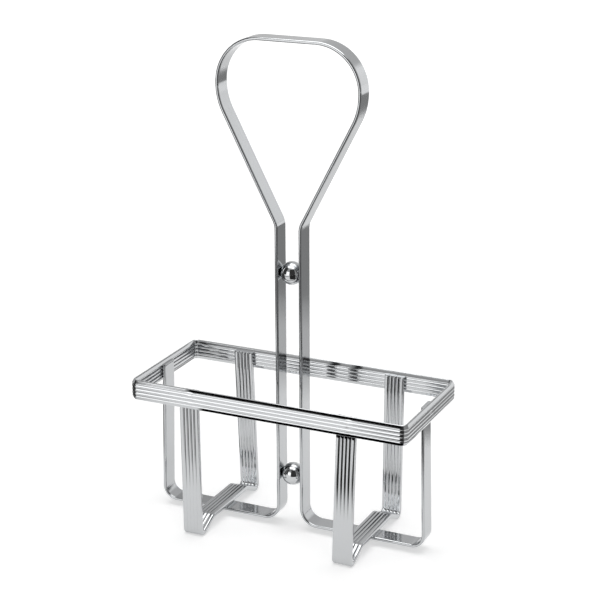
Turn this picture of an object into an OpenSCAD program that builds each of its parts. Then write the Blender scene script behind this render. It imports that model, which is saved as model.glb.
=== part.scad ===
// Two-bottle cruet rack, bent from metal strip and spot welded.
// A reeded band rings the top, two reeded straps cross under the bottles, and one flat strip
// makes both end loops, the two uprights and the carrying loop. Two balls tie the uprights.
// X runs along the rack, Y from front to back, Z up. The origin is on the table, under the middle.

/* [Reeded strip] */
// Width of the reeded strip that makes the band and the cradle straps
strip_w = 9.9; // [8:0.1:12]
// Thickness of the reeded strip over its crests
strip_t = 2.45; // [2:0.05:3]
// Number of reeds on each face
reeds = 5; // [3:1:7]
// Depth of the grooves between the reeds
groove_depth = 0.25; // [0.15:0.05:0.5]

/* [Top band] */
// Outside length of the band
band_l = 139.7; // [130:0.1:156]
// Outside depth of the band, front to back
band_d = 63.5; // [58:0.1:80]
// Height of the band's top edge
band_top = 74.7; // [66:0.1:90]
// Outside radius of the band's corners
band_corner_r = 3.6; // [3:0.1:9]

/* [Cradle straps] */
// Distance of a strap from the middle of the rack, measured at the band
cradle_top_x = 39.9; // [37:0.1:44]
// Distance of a strap from the middle of the rack, measured at the table
cradle_foot_x = 38.5; // [36:0.1:44]
// How far a foot stands out past the top of its leg
foot_splay = 1.6; // [0.4:0.1:4]
// Inside radius of the bend over a foot
foot_bend_r = 1.1; // [0.8:0.1:3]
// Length of the raised middle that crosses the handle strip
saddle_l = 35; // [24:0.5:40]
// Radius at the ends of the raised middle, on the side that bends inward
saddle_bend_r = 4; // [2:0.5:8]
// How deep the crests under a foot are flattened where the rack stands
foot_flat = 0.15; // [0.1:0.05:0.25]
// How far the ends of the straps stop below the band's top edge
end_drop = 1.4; // [0.5:0.1:3]

/* [Handle strip] */
// Width of the flat strip
flat_w = 9.5; // [8:0.1:11]
// Thickness of the flat strip
flat_t = 1.65; // [1.4:0.05:2]
// Radius of the flat strip's edges
flat_edge_r = 0.6; // [0.2:0.05:0.65]
// Height of the bottom runs above the table
run_lift = 2.7; // [1.6:0.1:4]
// How far an end leg stands out at the bottom past its top
end_leg_splay = 1.6; // [0.4:0.1:4]
// Inside radius of the bend under an end leg
end_bend_r = 5.4; // [3:0.1:12]
// Inside radius of the bend under an upright
upright_bend_r = 6.9; // [4:0.1:14]
// Gap between the uprights
upright_gap = 10.4; // [8:0.1:14]
// Inside radius of the knees, where the uprights open into the carrying loop
knee_bend_r = 8.6; // [4:0.1:20]

/* [Carrying loop] */
// Height of the top of the rack
loop_top = 235.4; // [190:0.1:280]
// Height of the carrying loop, from the knees to the top
loop_h = 85.1; // [74:0.1:100]
// Overall width of the carrying loop
loop_w = 71.5; // [62:0.5:84]
// Inside radius of the loop's two sides
loop_side_r = 27.5; // [20:0.1:34]
// Inside radius of the loop's two shoulders
shoulder_r = 20.2; // [12:0.1:21]
// Straight length between a side and its shoulder
loop_side_l = 0.6; // [0.2:0.1:6]

/* [Spacer balls] */
// Distance from the knees down to the centre of the upper ball
upper_ball_drop = 23.3; // [14:0.1:45]
// Height of the centre of the lower ball
lower_ball_z = 26.9; // [20:0.1:50]

/* [Welds] */
// How far two welded strips are pressed into each other
weld_set = 0.15; // [0.05:0.05:0.3]
// How far a ball is pressed into each upright
ball_set = 0.3; // [0.1:0.05:0.5]

/* [Hidden] */
// Facets round the band's own curves
$fn = 48;
bend_fn = 96;
// Largest angle between two rings of a bent strip, and the steps across one reed
ring_step = 7.5;
reed_steps = 4;
// Steps round a rounded edge of the flat strip
edge_steps = 3;
// Where the outer half of an edge reed is sampled, from the tip inward
edge_reed_shares = [0.16, 0.6];
// Radius of the slight bend where a leg leaves the band
splay_bend_r = 40;
// Overrun of the cut that flattens the feet
cut_over = 2;

// Reeds: the crests are arcs that meet in the grooves
reed_pitch = strip_w / reeds;
reed_r = (reed_pitch * reed_pitch / 4 + groove_depth * groove_depth) / (2 * groove_depth);

// Band, on the middle line of its strip
band_x = (band_l - strip_t) / 2;
band_y = (band_d - strip_t) / 2;
band_z = band_top - strip_w / 2;
band_foot = band_top - strip_w;
strip_end = band_top - end_drop;

// Cradle straps, on the middle line of their strip
cradle_leg_y = band_d / 2 - strip_t * 3 / 2 + weld_set;
foot_r = foot_bend_r + strip_t / 2;
foot_c = [-(cradle_leg_y + foot_splay - foot_r), foot_r + strip_t / 2 - foot_flat];
saddle = [-saddle_l / 2, run_lift + flat_t + strip_t / 2 - weld_set];
foot_corner = meet([-cradle_leg_y, band_foot], toward([-cradle_leg_y, band_foot], foot_c, foot_r, 1),
                   saddle, toward(saddle, foot_c, foot_r, -1));
cradle_half = [[-cradle_leg_y, strip_end], [-cradle_leg_y, band_foot], foot_corner, saddle];
cradle_radii = [0, splay_bend_r, foot_r, saddle_bend_r + strip_t / 2];
cradle_tilt = atan((cradle_top_x - cradle_foot_x) / band_z);

// Handle strip, on its middle line
leg_x = band_l / 2 - strip_t - flat_t / 2 + weld_set;
run_z = run_lift + flat_t / 2;
upright_x = (upright_gap + flat_t) / 2;
knee_z = loop_top - loop_h;
loop_x = (loop_w - flat_t) / 2;
loop_z = loop_top - flat_t / 2;
side_r = loop_side_r + flat_t / 2;
side_c = [loop_x - side_r, loop_z - shoulder_r - flat_t / 2 - loop_side_l];
arm_heading = toward([upright_x, knee_z], side_c, side_r, 1);
side_corner = meet([upright_x, knee_z], arm_heading, [loop_x, loop_z], 90);
handle_half = [[leg_x, strip_end], [leg_x, band_foot], [leg_x + end_leg_splay, run_z],
               [upright_x, run_z], [upright_x, knee_z], side_corner, [loop_x, loop_z]];
handle_radii = [0, splay_bend_r, end_bend_r + flat_t / 2, upright_bend_r + flat_t / 2,
                knee_bend_r + flat_t / 2, side_r, shoulder_r + flat_t / 2];

ball_d = upright_gap + 2 * ball_set;

// Heading from point p that just touches the circle at c, which lies on the left (side 1) or right
function toward(p, c, r, side) =
    atan2(c[1] - p[1], c[0] - p[0]) - side * asin(r / norm(c - p));
// Point where the line from p with heading a meets the line from q with heading b
function meet(p, a, q, b) =
    p + [cos(a), sin(a)] * ((q[0] - p[0]) * sin(b) - (q[1] - p[1]) * cos(b)) / sin(b - a);
// The other half of a route, mirrored and walked back
function mirrored(route) = [for (i = [len(route) - 1 : -1 : 0]) [-route[i][0], route[i][1]]];
function backward(list) = [for (i = [len(list) - 1 : -1 : 0]) list[i]];
// Heading of a route's leg i, the turn at its corner i and the length that a bend takes off there
function heading(route, i) = atan2(route[i + 1][1] - route[i][1], route[i + 1][0] - route[i][0]);
function within(a) = a > 180 ? a - 360 : a <= -180 ? a + 360 : a;
function turn(route, i) = within(heading(route, i) - heading(route, i - 1));
function along(a) = [cos(a), sin(a)];
function left_of(a) = [-sin(a), cos(a)];

// Rings of a bend at corner i: the middle line's point and heading, from tangent to tangent
function bend_rings(route, i, r) =
    let (h = heading(route, i - 1), t = turn(route, i), s = sign(t), n = ceil(abs(t) / ring_step),
         centre = route[i] - along(h) * r * tan(abs(t) / 2) + left_of(h) * s * r)
    [for (k = [0 : n]) let (a = h + t * k / n) [centre - left_of(a) * s * r, a]];
// Rings of a whole route: its two ends and every bend between them
function route_rings(route, radii) =
    let (last = len(route) - 1)
    concat([[route[0], heading(route, 0)]],
           [for (i = [1 : last - 1]) each bend_rings(route, i, radii[i])],
           [[route[last], heading(route, last - 1)]]);

// Strip bent along a route: the section's thickness lies across the route and its width along Z
module bent_strip(rings, section) {
    m = len(section);
    last = len(rings) - 1;
    polyhedron(
        points = [for (r = rings, s = section)
                  let (p = r[0] + left_of(r[1]) * s[0]) [p[0], p[1], s[1]]],
        faces = concat([[for (j = [0 : m - 1]) j]],
                       [for (k = [0 : last - 1], j = [0 : m - 1])
                        [k * m + j, (k + 1) * m + j, (k + 1) * m + (j + 1) % m, k * m + (j + 1) % m]],
                       [[for (j = [m - 1 : -1 : 0]) last * m + j]]),
        convexity = 8);
}

// Half thickness of the reeded strip at w from its middle: arcs that meet in the grooves, and
// half-round edges
function reed_height(w) =
    let (n = min(reeds - 1, max(0, floor(w / reed_pitch + reeds / 2))),
         x = w - (n - (reeds - 1) / 2) * reed_pitch)
    sqrt(reed_r * reed_r - x * x) - reed_r + strip_t / 2;
function edge_height(w) =
    let (x = max(0, abs(w) - (strip_w - strip_t) / 2))
    sqrt(max(0, strip_t * strip_t / 4 - x * x));
// Where the section is sampled, between the crests of its two edge reeds and out to its tips
crest_w = (strip_w - reed_pitch) / 2;
inner_widths = [for (k = [0 : (reeds - 1) * reed_steps]) k * reed_pitch / reed_steps - crest_w];
outer_widths = [for (s = edge_reed_shares) crest_w + (1 - s) * reed_pitch / 2];
face_widths = concat([for (w = outer_widths) -w], inner_widths, backward(outer_widths));
// Section of the reeded strip, as points round it: one face, a tip, the other face, a tip
reeded_points = concat(
    [for (w = face_widths) [min(reed_height(w), edge_height(w)), w]], [[0, strip_w / 2]],
    [for (w = backward(face_widths)) [-min(reed_height(w), edge_height(w)), w]], [[0, -strip_w / 2]]);

// Section of the flat strip: a bar with rounded edges
flat_points = [for (q = [0 : 3], k = [0 : edge_steps])
    let (a = q * 90 + k * 90 / edge_steps, c = along(q * 90 + 45))
    [sign(c[0]) * (flat_t / 2 - flat_edge_r) + flat_edge_r * cos(a),
     sign(c[1]) * (flat_w / 2 - flat_edge_r) + flat_edge_r * sin(a)]];

// Section of the reeded strip: overlapping reeds inside a slab with half-round edges
module reeded_section() {
    intersection() {
        union() {
            square([strip_t, strip_w - strip_t], center = true);
            for (s = [-1, 1]) translate([0, s * (strip_w - strip_t) / 2]) circle(d = strip_t);
        }
        for (i = [0 : reeds - 1])
            translate([0, (i - (reeds - 1) / 2) * reed_pitch])
                intersection() {
                    translate([strip_t / 2 - reed_r, 0]) circle(r = reed_r);
                    translate([reed_r - strip_t / 2, 0]) circle(r = reed_r);
                }
    }
}

// Ring of reeded strip with a small bend at each corner
module top_band() {
    r = band_corner_r - strip_t / 2;
    x = band_x - r;
    y = band_y - r;
    color([0.80, 0.81, 0.83]) translate([0, 0, band_z]) {
        for (s = [-1, 1]) {
            translate([-x, s * band_y, 0]) rotate([90, 0, 90]) linear_extrude(2 * x) reeded_section();
            translate([s * band_x, y, 0]) rotate([90, 0, 0]) linear_extrude(2 * y) reeded_section();
        }
        for (c = [[x, y, 0], [-x, y, 90], [-x, -y, 180], [x, -y, 270]])
            translate([c[0], c[1], 0]) rotate([0, 0, c[2]])
                rotate_extrude(angle = 90, $fn = bend_fn) translate([r, 0]) reeded_section();
    }
}

// One continuous flat strip: end leg, bottom run, upright, carrying loop, and the same back down
module handle_strip() {
    color([0.78, 0.79, 0.81]) rotate([90, 0, 0])
        bent_strip(route_rings(concat(handle_half, mirrored(handle_half)),
                               concat(handle_radii, backward(handle_radii))), flat_points);
}

// Reeded strap under the right bottle, raised in its middle to pass over the handle strip
module right_cradle_strap() {
    color([0.76, 0.77, 0.79]) difference() {
        translate([cradle_foot_x, 0, 0]) rotate([0, cradle_tilt, 0])
            rotate([90, 0, 90])
                bent_strip(route_rings(concat(cradle_half, mirrored(cradle_half)),
                                       concat(cradle_radii, backward(cradle_radii))), reeded_points);
        translate([cradle_foot_x, 0, -strip_t / 2])
            cube([strip_w + cut_over, band_d + cut_over, strip_t], center = true);
    }
}
// The same strap turned half round the middle of the rack
module left_cradle_strap() { rotate([0, 0, 180]) right_cradle_strap(); }

// Ball welded between the uprights
module spacer_ball(z) {
    color([0.82, 0.83, 0.85]) translate([0, 0, z]) sphere(d = ball_d);
}
module upper_spacer_ball() { spacer_ball(knee_z - upper_ball_drop); }
module lower_spacer_ball() { spacer_ball(lower_ball_z); }

top_band();
handle_strip();
left_cradle_strap();
right_cradle_strap();
upper_spacer_ball();
lower_spacer_ball();
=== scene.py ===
"""Looks of the chromed two-bottle cruet rack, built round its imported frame.

Every strip is swept again along its real route with fine rings and its full section, so that the
plate reflects smoothly. Sizes are real ones in millimetres, turned to metres when a mesh is made.
"""
import math

import bpy
from mathutils import Matrix, Quaternion, Vector, noise


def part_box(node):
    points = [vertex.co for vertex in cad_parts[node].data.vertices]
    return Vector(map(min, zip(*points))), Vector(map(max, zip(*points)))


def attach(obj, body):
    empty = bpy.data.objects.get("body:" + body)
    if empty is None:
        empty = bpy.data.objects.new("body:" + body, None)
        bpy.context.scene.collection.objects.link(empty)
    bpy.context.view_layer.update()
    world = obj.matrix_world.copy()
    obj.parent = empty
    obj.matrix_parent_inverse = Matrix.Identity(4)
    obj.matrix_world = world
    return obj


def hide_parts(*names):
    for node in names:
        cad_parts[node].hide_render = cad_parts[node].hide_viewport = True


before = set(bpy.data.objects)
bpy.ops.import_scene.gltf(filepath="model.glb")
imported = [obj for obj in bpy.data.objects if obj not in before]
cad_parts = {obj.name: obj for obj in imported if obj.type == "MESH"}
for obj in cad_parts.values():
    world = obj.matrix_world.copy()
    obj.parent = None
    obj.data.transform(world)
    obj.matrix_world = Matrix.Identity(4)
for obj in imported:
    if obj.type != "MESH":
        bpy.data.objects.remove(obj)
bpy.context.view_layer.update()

MM = 0.001

# Sizes of the real strips and bends, in millimetres
STRIP_W, STRIP_T, REEDS = 9.9, 2.45, 5
FLAT_W, FLAT_T, FLAT_EDGE_R = 9.5, 1.65, 0.78
CORNER_R = 3.6
END_DROP = 1.4
SPLAY_BEND_R = 40.0
CRADLE_TOP_X, CRADLE_FOOT_X = 39.9, 38.5
FOOT_SPLAY, FOOT_BEND_R, FOOT_FLAT = 1.6, 1.1, 0.15
SADDLE_L, SADDLE_BEND_R = 35.0, 4.0
RUN_LIFT = 2.7
END_LEG_SPLAY, END_BEND_R = 1.6, 5.4
UPRIGHT_BEND_R, UPRIGHT_GAP = 6.9, 10.4
KNEE_DROP, KNEE_BEND_R = 85.1, 8.6
LOOP_W, LOOP_SIDE_R, SHOULDER_R, LOOP_SIDE_L = 71.5, 27.5, 20.2, 0.6
WELD_SET = 0.15

# Overall sizes, from the frame
band_low, band_high = (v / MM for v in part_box("top_band"))
BAND_L, BAND_D, BAND_TOP = band_high.x - band_low.x, band_high.y - band_low.y, band_high.z
LOOP_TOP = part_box("handle_strip")[1].z / MM

# How fine the meshes are: degrees per ring in a bend, millimetres per ring in a straight, and points
# on a reed, a margin, a rounded edge and a flat face
BEND_STEP = 2.0
STRAIGHT_STEP = 1.0
REED_STEPS = 12
MARGIN_STEPS = 10
REEDED_EDGE_STEPS = 9
EDGE_STEPS = 10
FACE_STEPS = 8
BALL_SUBDIVISIONS = 6

# The reeded strip's own relief: round reeds, a little closer than a fifth of its width, that meet in
# grooves with the given slope. The margins beside them start to fall at start, with the slope tilt,
# and end at tip, where the strip's rounded edge begins. Slopes are in degrees.
REED_PITCH, GROOVE_R = 1.79, 0.05
BAND_RELIEF = {"groove": 26.0, "start": 3.15, "tilt": 27.0, "tip": 4.45}
STRAP_RELIEF = {"groove": 36.0, "start": 4.0, "tilt": 6.0, "tip": 4.45}
MARGIN_BLEND = 0.15
FACE_INSET = 0.02

# The strips' slight waver, above the feet
WAVER_DEPTH, WAVER_SCALE, WAVER_FROM_Z = 0.05, 0.06, 4.0

# Dimples at the band's spot welds, and their places along the band and up it from its middle line
BAND_WELD_R, BAND_WELD_DEPTH = 1.1, 0.13
STRAP_WELDS = ((2.2, 2.6), (2.6, -0.6), (2.4, -3.4))
LEG_WELDS = ((-1.8, 1.4), (1.9, -1.6))
BOWL_FALL, RIM_SHARE, RIM_AT, RIM_FALL, DIMPLE_REACH = 2.0, 1 / 3, 1.15, 9.0, 3.0


# Routes: corner points with a bend radius at each, walked as straights and tangent arcs
def toward(p, c, r, side):
    """Heading from p that touches the circle at c, which lies on the left (side 1) or right."""
    reach = math.hypot(c[0] - p[0], c[1] - p[1])
    return math.atan2(c[1] - p[1], c[0] - p[0]) - side * math.asin(r / reach)


def meet(p, a, q, b):
    """Point where the line from p with heading a meets the line from q with heading b."""
    s = ((q[0] - p[0]) * math.sin(b) - (q[1] - p[1]) * math.cos(b)) / math.sin(b - a)
    return (p[0] + math.cos(a) * s, p[1] + math.sin(a) * s)


def both_halves(half, radii):
    """A route and its radii, from the half on the +X side or the -Y side to its mirror image."""
    other = [(-x, z) for x, z in reversed(half)]
    return half + other, radii + radii[::-1]


def stations(route, radii, closed=False):
    """Points along a route's middle line, each with its heading and the length walked so far."""
    n = len(route)
    rings, walked = [], 0.0

    def add(point, heading):
        nonlocal walked
        if rings:
            walked += math.dist(point, rings[-1][0])
        rings.append((point, heading, walked))

    def straight(a, b):
        count = max(1, math.ceil(math.dist(a, b) / STRAIGHT_STEP))
        heading = math.atan2(b[1] - a[1], b[0] - a[0])
        for k in range(count + 1):
            t = k / count
            if k or not rings:
                add((a[0] + (b[0] - a[0]) * t, a[1] + (b[1] - a[1]) * t), heading)

    def bend(i):
        before, here, after = route[i - 1], route[i], route[(i + 1) % n]
        h = math.atan2(here[1] - before[1], here[0] - before[0])
        out = math.atan2(after[1] - here[1], after[0] - here[0])
        turn = (out - h + math.pi) % (2 * math.pi) - math.pi
        s, r = math.copysign(1.0, turn), radii[i]
        back = r * math.tan(abs(turn) / 2)
        start = (here[0] - math.cos(h) * back, here[1] - math.sin(h) * back)
        centre = (start[0] - math.sin(h) * s * r, start[1] + math.cos(h) * s * r)
        count = max(2, math.ceil(math.degrees(abs(turn)) / BEND_STEP))
        arc = []
        for k in range(count + 1):
            a = h + turn * k / count
            arc.append(((centre[0] + math.sin(a) * s * r, centre[1] - math.cos(a) * s * r), a))
        return arc

    bends = {i: bend(i) for i in range(n) if radii[i]}
    last = bends[n - 1][-1][0] if closed else route[0]
    for i in range(0 if closed else 1, n):
        if radii[i]:
            straight(last, bends[i][0][0])
            for point, heading in bends[i][1:]:
                add(point, heading)
            last = bends[i][-1][0]
        else:
            straight(last, route[i])
            last = route[i]
    return rings[:-1] if closed else rings


# Sections: points round the strip as (across its thickness, across its width)
def reeded_section(groove, start, tilt, tip):
    """Shallow reeds on each face, with small fillets in the grooves, inside rounded edges."""
    reed_r = REED_PITCH / 2 / math.sin(math.radians(groove))
    half_t, crest = STRIP_T / 2, (REEDS - 1) / 2 * REED_PITCH

    def reed(w):
        x = abs((w + crest + REED_PITCH / 2) % REED_PITCH - REED_PITCH / 2)
        near = REED_PITCH / 2 - x
        fillet = max(0.0, GROOVE_R - near) ** 2 / (2 * GROOVE_R) * math.tan(math.radians(groove))
        return math.sqrt(reed_r ** 2 - x * x) - reed_r + half_t + fillet

    def fall(past):
        blended = past * past / (2 * MARGIN_BLEND) if past < MARGIN_BLEND else past - MARGIN_BLEND / 2
        return math.tan(math.radians(tilt)) * blended

    last = min(start, crest)
    widths = [k * REED_PITCH / REED_STEPS for k in range(int(last / REED_PITCH * REED_STEPS) + 1)]
    side = [(reed(w), w) for w in widths]
    level = side[-1][0]
    if start > crest:
        side.append((level, start))
    for k in range(1, MARGIN_STEPS + 1):
        past = (tip - start) * k / MARGIN_STEPS
        side.append((level - fall(past), start + past))
    t, w = side[-1]
    low, reach = math.radians(tilt), STRIP_W / 2 - w
    for k in range(1, REEDED_EDGE_STEPS):
        a = low + (math.pi / 2 - low) * k / REEDED_EDGE_STEPS
        out = (math.sin(a) - math.sin(low)) / (1 - math.sin(low))
        side.append((t * math.cos(a) / math.cos(low), w + reach * out))
    face = [(t, -w) for t, w in reversed(side[1:])] + side
    back = [(-t, w) for t, w in reversed(face)]
    return face + [(0.0, STRIP_W / 2)] + back + [(0.0, -STRIP_W / 2)]


def flat_section():
    """A bar with rounded edges, and points close beside them that keep the faces flat."""
    t, w, r = FLAT_T / 2, FLAT_W / 2, FLAT_EDGE_R
    short, long = t - r - FACE_INSET, w - r - FACE_INSET
    points = []
    for q, (st, sw) in enumerate(((1, 1), (-1, 1), (-1, -1), (1, -1))):
        for k in range(EDGE_STEPS + 1):
            a = math.radians(q * 90 + k * 90 / EDGE_STEPS)
            points.append((st * (t - r) + r * math.cos(a), sw * (w - r) + r * math.sin(a)))
        if q % 2 == 0:
            points += [(st * short, sw * w), (-st * short, sw * w)]
        else:
            points += [(st * t, sw * long * (1 - 2 * k / FACE_STEPS)) for k in range(FACE_STEPS + 1)]
    return points


def sunk(point, marks):
    """How deep round dimples push the surface in at a point. Each is a soft bowl with a crisp edge."""
    depth = 0.0
    for centre, radius, deepest in marks:
        d = (point - Vector(centre)).length / radius
        if d < DIMPLE_REACH:
            bowl, rim = math.exp(-BOWL_FALL * d * d), math.exp(-RIM_FALL * (d - RIM_AT) ** 2)
            depth += deepest * (bowl - RIM_SHARE * rim)
    return depth


def wavered(point):
    """How far the real strip's slight waver takes the surface in at a point."""
    if point.z <= WAVER_FROM_Z:
        return 0.0
    return WAVER_DEPTH * (0.5 + 0.5 * noise.noise(point * WAVER_SCALE))


def sweep(name, rings, section, place, closed=False, marks=()):
    """A strip swept along its rings. place turns (x, y, z) of the route's own frame into the rack's.

    The surface only ever moves inwards, so it stays inside the strip's plain section.
    """
    verts, faces, along, across = [], [], [], []
    m = len(section)
    for (x, y), a, s in rings:
        left = (-math.sin(a), math.cos(a))
        for t, w in section:
            verts.append(place(Vector((x + left[0] * t, y + left[1] * t, w))))
            along.append(s)
            across.append(w)
    count = len(rings)
    for k in range(count if closed else count - 1):
        j = (k + 1) % count
        for i in range(m):
            h = (i + 1) % m
            faces.append((k * m + i, k * m + h, j * m + h, j * m + i))
    mesh = bpy.data.meshes.new(name)
    caps = [] if closed else [tuple(reversed(range(m))), tuple((count - 1) * m + i for i in range(m))]
    mesh.from_pydata([v * MM for v in verts], [], faces + caps)
    for p in mesh.polygons:
        p.use_smooth = len(p.vertices) == 4
    mesh.update()
    normals = [v.normal.copy() for v in mesh.vertices]
    for v, point, n in zip(mesh.vertices, verts, normals):
        v.co -= n * max(0.0, sunk(point, marks) + wavered(point)) * MM
    run = mesh.attributes.new("strip_run", "FLOAT_VECTOR", "POINT")
    run.data.foreach_set("vector", [c for s, w in zip(along, across) for c in (s * MM, w * MM, 0.0)])
    obj = bpy.data.objects.new(name, mesh)
    bpy.context.scene.collection.objects.link(obj)
    return obj


# Materials: the lines' scale along and across the strip, the haze and the ripples, the range of the
# noise that spreads the roughness and the shares of it that it gives, and the depths in metres
STREAK_SCALE, STREAK_DETAIL, STREAK_DEPTH = (25.0, 5200.0, 1.0), 3.0, 0.00002
HAZE_SCALE, HAZE_DETAIL = 90.0, 5.0
RIPPLE_DETAIL, RIPPLE_DEPTH = 1.5, 0.0004
NOISE_RANGE, ROUGH_SHARES = (0.12, 0.42), (0.6, 1.6)
WHITE = (1.0, 1.0, 1.0, 1.0)


def new_material(name):
    """A material that uses nodes, with its node tree."""
    mat = bpy.data.materials.new(name)
    mat.use_nodes = True
    return mat, mat.node_tree


def add_node(tree, kind, values=None, operation=None):
    """A new shader node, with values for its inputs by name."""
    made = tree.nodes.new("ShaderNode" + kind)
    if operation:
        made.operation = operation
    for socket, value in (values or {}).items():
        made.inputs[socket].default_value = value
    return made


def chrome(name, colour, rough, streaks, ripple, ripple_scale):
    """Bright plate over rolled strip: fine lines along the strip, soft ripples and a little haze."""
    mat, tree = new_material(name)
    link = tree.links.new
    shader = tree.nodes["Principled BSDF"]
    shader.inputs["Metallic"].default_value = 1.0
    shader.inputs["Base Color"].default_value = (*colour, 1.0)

    run = add_node(tree, "Attribute")
    run.attribute_name = "strip_run"
    stretch = add_node(tree, "Mapping", {"Scale": STREAK_SCALE})
    lines = add_node(tree, "TexNoise", {"Scale": 1.0, "Detail": STREAK_DETAIL})
    link(run.outputs["Vector"], stretch.inputs["Vector"])
    link(stretch.outputs["Vector"], lines.inputs["Vector"])

    place = add_node(tree, "TexCoord")
    haze = add_node(tree, "TexNoise", {"Scale": HAZE_SCALE, "Detail": HAZE_DETAIL})
    link(place.outputs["Object"], haze.inputs["Vector"])

    both = add_node(tree, "Math", operation="MULTIPLY")
    link(lines.outputs["Fac"], both.inputs[0])
    link(haze.outputs["Fac"], both.inputs[1])
    low, high = (rough * share for share in ROUGH_SHARES)
    spread = add_node(tree, "MapRange", {"From Min": NOISE_RANGE[0], "From Max": NOISE_RANGE[1],
                                         "To Min": low, "To Max": high})
    link(both.outputs[0], spread.inputs["Value"])
    link(spread.outputs[0], shader.inputs["Roughness"])

    wave = add_node(tree, "TexNoise", {"Scale": ripple_scale, "Detail": RIPPLE_DETAIL})
    link(place.outputs["Object"], wave.inputs["Vector"])
    fine = add_node(tree, "Bump", {"Strength": streaks, "Distance": STREAK_DEPTH})
    coarse = add_node(tree, "Bump", {"Strength": ripple, "Distance": RIPPLE_DEPTH})
    link(lines.outputs["Fac"], fine.inputs["Height"])
    link(wave.outputs["Fac"], coarse.inputs["Height"])
    link(coarse.outputs["Normal"], fine.inputs["Normal"])
    link(fine.outputs["Normal"], shader.inputs["Normal"])
    return mat


band_chrome = chrome("band_chrome", (0.55, 0.56, 0.57),
                     rough=0.06, streaks=0.25, ripple=0.05, ripple_scale=60.0)
handle_chrome = chrome("handle_chrome", (0.49, 0.50, 0.51),
                       rough=0.09, streaks=0.45, ripple=0.05, ripple_scale=45.0)
cradle_chrome = chrome("cradle_chrome", (0.54, 0.55, 0.56),
                       rough=0.07, streaks=0.25, ripple=0.08, ripple_scale=55.0)
ball_chrome = chrome("ball_chrome", (0.56, 0.57, 0.58),
                     rough=0.03, streaks=0.0, ripple=0.05, ripple_scale=120.0)


def dress(obj, mat, node):
    """Gives a piece its finish, and puts it in place of its plain node on the rack's one body."""
    obj.data.materials.append(mat)
    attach(obj, "root")
    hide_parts(node)


# Top band: a closed ring in the XY plane
band_x, band_y = (BAND_L - STRIP_T) / 2, (BAND_D - STRIP_T) / 2
band_z = BAND_TOP - STRIP_W / 2


def make_band():
    def weld(x, y, up):
        return (x, y, band_z + up), BAND_WELD_R, BAND_WELD_DEPTH

    route = [(band_x, -band_y), (band_x, band_y), (-band_x, band_y), (-band_x, -band_y)]
    rings = stations(route, [CORNER_R - STRIP_T / 2] * len(route), closed=True)
    marks = [weld(sx * CRADLE_TOP_X + along, sy * BAND_D / 2, up)
             for sx in (-1, 1) for sy in (-1, 1) for along, up in STRAP_WELDS]
    marks += [weld(sx * BAND_L / 2, along, up) for sx in (-1, 1) for along, up in LEG_WELDS]
    band = sweep("reeded_band", rings, reeded_section(**BAND_RELIEF),
                 lambda p: Vector((p.x, p.y, p.z + band_z)), closed=True, marks=marks)
    dress(band, band_chrome, "top_band")


# Handle strip: one route in the XZ plane
leg_x = BAND_L / 2 - STRIP_T - FLAT_T / 2 + WELD_SET
run_z = RUN_LIFT + FLAT_T / 2
upright_x = (UPRIGHT_GAP + FLAT_T) / 2
strip_end = BAND_TOP - END_DROP
band_foot = BAND_TOP - STRIP_W
loop_x, loop_z = (LOOP_W - FLAT_T) / 2, LOOP_TOP - FLAT_T / 2
knee_z = LOOP_TOP - KNEE_DROP


def make_handle():
    side_r = LOOP_SIDE_R + FLAT_T / 2
    side_c = (loop_x - side_r, loop_z - SHOULDER_R - FLAT_T / 2 - LOOP_SIDE_L)
    knee = (upright_x, knee_z)
    arm = toward(knee, side_c, side_r, 1)
    half = [(leg_x, strip_end), (leg_x, band_foot), (leg_x + END_LEG_SPLAY, run_z), (upright_x, run_z),
            knee, meet(knee, arm, (loop_x, loop_z), math.pi / 2), (loop_x, loop_z)]
    radii = [0, SPLAY_BEND_R, END_BEND_R + FLAT_T / 2, UPRIGHT_BEND_R + FLAT_T / 2,
             KNEE_BEND_R + FLAT_T / 2, side_r, SHOULDER_R + FLAT_T / 2]
    rings = stations(*both_halves(half, radii))
    handle = sweep("bent_handle", rings, flat_section(), lambda p: Vector((p.x, -p.z, p.y)))
    dress(handle, handle_chrome, "handle_strip")


# Cradle straps: a route in a plane across the rack, leaning in towards the foot
def make_strap(name, side, node):
    leg_y = BAND_D / 2 - STRIP_T * 3 / 2 + WELD_SET
    foot_r = FOOT_BEND_R + STRIP_T / 2
    foot_c = (-(leg_y + FOOT_SPLAY - foot_r), foot_r + STRIP_T / 2 - FOOT_FLAT)
    saddle = (-SADDLE_L / 2, RUN_LIFT + FLAT_T + STRIP_T / 2 - WELD_SET)
    top = (-leg_y, band_foot)
    corner = meet(top, toward(top, foot_c, foot_r, 1), saddle, toward(saddle, foot_c, foot_r, -1))
    half = [(-leg_y, strip_end), top, corner, saddle]
    rings = stations(*both_halves(half, [0, SPLAY_BEND_R, foot_r, SADDLE_BEND_R + STRIP_T / 2]))
    tilt = math.atan2(CRADLE_TOP_X - CRADLE_FOOT_X, band_z) * side

    def place(p):
        x = p.z * math.cos(tilt) + p.y * math.sin(tilt)
        z = p.y * math.cos(tilt) - p.z * math.sin(tilt)
        return Vector((x + side * CRADLE_FOOT_X, p.x, max(z, 0.0)))

    strap = sweep(name, rings, reeded_section(**STRAP_RELIEF), place)
    dress(strap, cradle_chrome, node)


def make_ball(name, node):
    low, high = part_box(node)
    centre, radius = (low + high) / 2, (high.z - low.z) / 2
    bpy.ops.mesh.primitive_ico_sphere_add(subdivisions=BALL_SUBDIVISIONS, radius=radius,
                                          location=(0, 0, 0))
    ball = bpy.context.object
    ball.name = ball.data.name = name
    for v in ball.data.vertices:
        v.co += centre
    for p in ball.data.polygons:
        p.use_smooth = True
    dress(ball, ball_chrome, node)


make_band()
make_handle()
make_strap("left_reeded_strap", -1, "left_cradle_strap")
make_strap("right_reeded_strap", 1, "right_cradle_strap")
make_ball("upper_ball", "upper_spacer_ball")
make_ball("lower_ball", "lower_spacer_ball")

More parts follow.
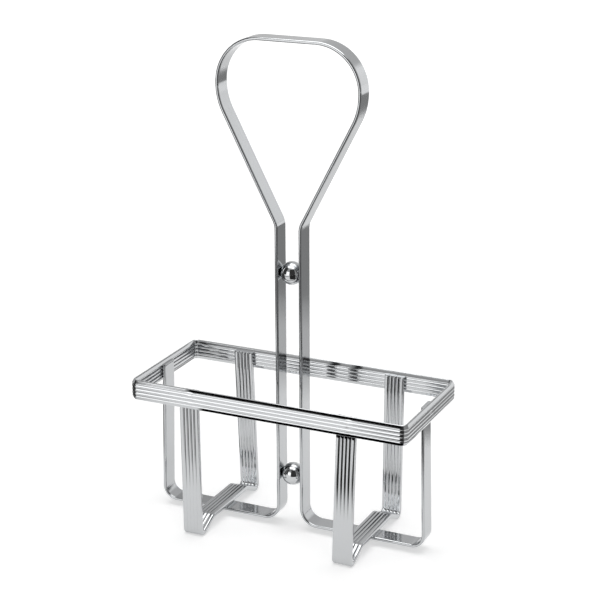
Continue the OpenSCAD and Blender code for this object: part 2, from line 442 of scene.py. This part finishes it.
# Camera, at the photograph's viewing angle
CAM_AZIMUTH, CAM_ELEVATION, CAM_ROLL = 25.21, 18.51, -0.27
CAM_DISTANCE, CAM_TARGET = 807.6, Vector((3.85, 0.0, 114.48))
CAM_CLIP_NEAR, CAM_CLIP_FAR = 0.01, 20.0
IMAGE_SIDE, FOCAL_PIXELS, SENSOR = 600, 1757.3, 36.0


def make_camera():
    az, el = math.radians(CAM_AZIMUTH), math.radians(CAM_ELEVATION)
    back = Vector((math.sin(az) * math.cos(el), -math.cos(az) * math.cos(el), math.sin(el)))
    right = Vector((math.cos(az), math.sin(az), 0.0))
    axes = Matrix((right, back.cross(right), back)).transposed()
    data = bpy.data.cameras.new("camera")
    data.lens = FOCAL_PIXELS / IMAGE_SIDE * SENSOR
    data.sensor_width = SENSOR
    data.clip_start, data.clip_end = CAM_CLIP_NEAR, CAM_CLIP_FAR
    cam = bpy.data.objects.new("camera", data)
    cam.location = (CAM_TARGET + back * CAM_DISTANCE) * MM
    cam.rotation_mode = "QUATERNION"
    cam.rotation_quaternion = Quaternion(back, math.radians(CAM_ROLL)) @ axes.to_quaternion()
    bpy.context.scene.collection.objects.link(cam)
    bpy.context.scene.camera = cam


def shown_rays(tree):
    """1 for camera, glossy and transmission rays, which see the pale background; 0 for the rest."""
    path = add_node(tree, "LightPath")
    two = add_node(tree, "Math", operation="MAXIMUM")
    tree.links.new(path.outputs["Is Camera Ray"], two.inputs[0])
    tree.links.new(path.outputs["Is Glossy Ray"], two.inputs[1])
    three = add_node(tree, "Math", operation="MAXIMUM")
    tree.links.new(two.outputs[0], three.inputs[0])
    tree.links.new(path.outputs["Is Transmission Ray"], three.inputs[1])
    return three.outputs[0]


def make_world():
    world = bpy.data.worlds.new("studio")
    bpy.context.scene.world = world
    world.use_nodes = True
    tree = world.node_tree
    sky = tree.nodes["Background"]
    sky.inputs["Color"].default_value = WHITE
    light = add_node(tree, "MapRange", {"To Min": WORLD_LIGHT, "To Max": 1.0})
    tree.links.new(shown_rays(tree), light.inputs["Value"])
    tree.links.new(light.outputs[0], sky.inputs["Strength"])


# Studio, in metres: a pale floor, one lamp over it, and cards that only reflections see. In them the
# polished metal mirrors a dark room with a softbox, and the dark and light parts of the table.
# CARD_GAIN makes up for the light that the plate's own colour takes from each reflection.
WORLD_LIGHT = 0.45
FLOOR_R, FLOOR_SIDES, FLOOR_GREY, FLOOR_ROUGH = 4.0, 96, 0.80, 0.9
GLOW_FROM, GLOW_TO, GLOW_NEAR, GLOW_FAR = 0.35, 1.6, 0.42, 0.85
TOP_LIGHT_SIDE, TOP_LIGHT_HEIGHT, TOP_LIGHT_WATTS = 1.1, 1.3, 8.0
CARD_DISTANCE, CARD_CENTRE_Z = 1.5, 0.10
TABLE_R = 1.45
CARD_CELLS = 24
CARD_GAIN = 1.50

# Painted reflections: black strips beside the band that only reflections see, which draw dark lines
# along its sloped edges; in millimetres over its top and under its foot
EDGE_STRIP_RISE, EDGE_STRIP_DROP = 0.9, 2.3
EDGE_STRIP_BLUR_ALONG, EDGE_STRIP_BLUR_ACROSS = 3.0, 0.4


def make_floor():
    bpy.ops.mesh.primitive_circle_add(vertices=FLOOR_SIDES, radius=FLOOR_R, fill_type="NGON",
                                      location=(0, 0, 0))
    floor = bpy.context.object
    floor.name = "floor"
    mat, tree = new_material("floor")
    shader = tree.nodes["Principled BSDF"]
    shader.inputs["Base Color"].default_value = (FLOOR_GREY, FLOOR_GREY, FLOOR_GREY, 1.0)
    shader.inputs["Roughness"].default_value = FLOOR_ROUGH
    shader.inputs["Specular IOR Level"].default_value = 0.0
    shader.inputs["Emission Color"].default_value = WHITE
    where = add_node(tree, "TexCoord")
    far = add_node(tree, "VectorMath", operation="LENGTH")
    rise = add_node(tree, "MapRange", {"From Min": GLOW_FROM, "From Max": GLOW_TO,
                                       "To Min": GLOW_NEAR, "To Max": GLOW_FAR})
    glow = add_node(tree, "Math", operation="MULTIPLY")
    tree.links.new(where.outputs["Object"], far.inputs[0])
    tree.links.new(far.outputs["Value"], rise.inputs["Value"])
    tree.links.new(rise.outputs[0], glow.inputs[0])
    tree.links.new(shown_rays(tree), glow.inputs[1])
    tree.links.new(glow.outputs[0], shader.inputs["Emission Strength"])
    floor.data.materials.append(mat)


def make_top_light():
    lamp = bpy.data.lights.new("top_light", "AREA")
    lamp.shape, lamp.size, lamp.energy = "SQUARE", TOP_LIGHT_SIDE, TOP_LIGHT_WATTS
    light = bpy.data.objects.new("top_light", lamp)
    light.location = (0.0, 0.0, TOP_LIGHT_HEIGHT)
    bpy.context.scene.collection.objects.link(light)


def card_material(name, grey):
    """An even grey glow where a card's soft attribute is 1, and nothing where it is 0."""
    mat, tree = new_material(name)
    tree.nodes.remove(tree.nodes["Principled BSDF"])
    tone = add_node(tree, "Emission", {"Color": WHITE, "Strength": grey * CARD_GAIN})
    clear = add_node(tree, "BsdfTransparent")
    soft = add_node(tree, "Attribute")
    soft.attribute_name = "soft"
    mix = add_node(tree, "MixShader")
    tree.links.new(soft.outputs["Fac"], mix.inputs["Fac"])
    tree.links.new(clear.outputs[0], mix.inputs[1])
    tree.links.new(tone.outputs[0], mix.inputs[2])
    tree.links.new(mix.outputs[0], tree.nodes["Material Output"].inputs["Surface"])
    return mat


def card(name, grey, u, v, blur, place):
    """A card over the ranges u and v, faded over blur at its edges, which place puts in the room.

    Its grid has a line just where each fade ends, and soft is 0 on the outline and 1 inside.
    """
    def lines(low, high, fade):
        start, inner = low + fade, high - low - 2 * fade
        return [low] + [start + inner * k / CARD_CELLS for k in range(CARD_CELLS + 1)] + [high]

    across, up = lines(*u, blur[0]), lines(*v, blur[1])
    verts = [place(a, b) for b in up for a in across]
    soft = [float(a not in u and b not in v) for b in up for a in across]
    w = len(across)
    faces = [(j * w + i, j * w + i + 1, (j + 1) * w + i + 1, (j + 1) * w + i)
             for j in range(w - 1) for i in range(w - 1)]
    mesh = bpy.data.meshes.new(name)
    mesh.from_pydata(verts, [], faces)
    mesh.attributes.new("soft", "FLOAT", "POINT").data.foreach_set("value", soft)
    mesh.materials.append(card_material(name, grey))
    obj = bpy.data.objects.new(name, mesh)
    obj.visible_camera = obj.visible_diffuse = obj.visible_shadow = False
    bpy.context.scene.collection.objects.link(obj)


def wall_card(name, grey, turn, rise, blur=(3.0, 3.0), near=0.0):
    """A part of the room: turn is a compass range in degrees from +Y towards +X, rise one of elevation.

    A card that lies in front of others is a little nearer.
    """
    reach = CARD_DISTANCE - near

    def place(t, r):
        a, e = math.radians(t), math.radians(r)
        return (reach * math.sin(a) * math.cos(e), reach * math.cos(a) * math.cos(e),
                CARD_CENTRE_Z + reach * math.sin(e))

    card(name, grey, turn, rise, blur, place)


def table_card(name, grey, turn, reach, blur=(8.0, 0.04), height=0.001):
    """A part of the table, as a compass range round the rack and a range of distance from it.

    A card that lies over others is a little higher.
    """
    def place(t, r):
        return (r * math.sin(math.radians(t)), r * math.cos(math.radians(t)), height)

    card(name, grey, turn, reach, blur, place)


def painted_edge_strip(name, x, y, z, blur=(EDGE_STRIP_BLUR_ALONG, EDGE_STRIP_BLUR_ACROSS)):
    """Painted reflection: a black strip beside the band, in millimetres, seen only in reflections,
    which draws a dark line along one of its sloped edges.
    """
    card(name, 0.0, x, y, blur, lambda a, b: (a * MM, b * MM, z * MM))


def make_cards():
    wall_card("dark_room", 0.035, (124, 258), (-14, 54))
    wall_card("front_softbox", 1.3, (182, 214), (-12, 26), blur=(1.5, 3.0), near=0.1)
    wall_card("front_high", 0.30, (182, 214), (23, 54), blur=(1.5, 3.0), near=0.15)
    wall_card("left_wall", 0.30, (258, 350), (-4, 52))
    wall_card("left_slot", 1.20, (257, 265), (6, 32), blur=(1.5, 3.0), near=0.1)
    wall_card("back_wall", 0.45, (330, 402), (16, 56), near=0.02)
    wall_card("back_low", 0.80, (320, 412), (-14, 22), blur=(44.0, 4.0), near=0.05)
    wall_card("back_bright", 1.05, (8, 27), (0, 21), blur=(4.0, 4.0), near=0.1)
    wall_card("right_wall", 0.24, (42, 126), (-4, 56))
    table_card("camera_side", 0.02, (112, 185), (0.10, TABLE_R), blur=(8.0, 0.03))
    table_card("front_ring", 0.25, (180, 236), (0.28, 0.52), height=0.0015)
    table_card("front_far", 0.95, (184, 226), (0.43, TABLE_R), height=0.002)
    table_card("left_side", 0.04, (228, 335), (0.10, TABLE_R), height=0.0025)
    table_card("back_left", 0.62, (-40, 18), (0.20, 0.50), blur=(8.0, 0.12), height=0.0012)
    table_card("back_near", 0.47, (12, 125), (0.16, 0.36), blur=(6.0, 0.05), height=0.0015)
    table_card("back_right", 0.25, (30, 125), (0.165, TABLE_R), blur=(10.0, 0.025), height=0.0018)
    table_card("back_far", 0.22, (13, 125), (0.28, 1.10), blur=(6.0, 0.07), height=0.002)
    # Painted reflections: black strips just over and under the band, seen only in reflections, draw
    # dark lines along its sloped edges
    end, front = BAND_L / 2, -BAND_D / 2
    over, under = BAND_TOP + EDGE_STRIP_RISE, band_foot - EDGE_STRIP_DROP
    turned = (EDGE_STRIP_BLUR_ACROSS, EDGE_STRIP_BLUR_ALONG)
    painted_edge_strip("painted_edge_over_band", (-42.5, 69.0), (front - 3.75, front + 0.05), over)
    painted_edge_strip("painted_edge_under_band", (-36.0, 72.0), (front - 2.75, front + 1.25), under)
    painted_edge_strip("painted_edge_over_right_end", (end + 0.15, end + 3.75), (-29.0, 31.0), over, blur=turned)
    painted_edge_strip("painted_edge_over_left_end", (2.55 - end, 6.15 - end), (-29.0, 28.0), over, blur=turned)


make_camera()
make_world()
make_floor()
make_top_light()
make_cards()

view = bpy.context.scene.view_settings
view.view_transform = "Standard"
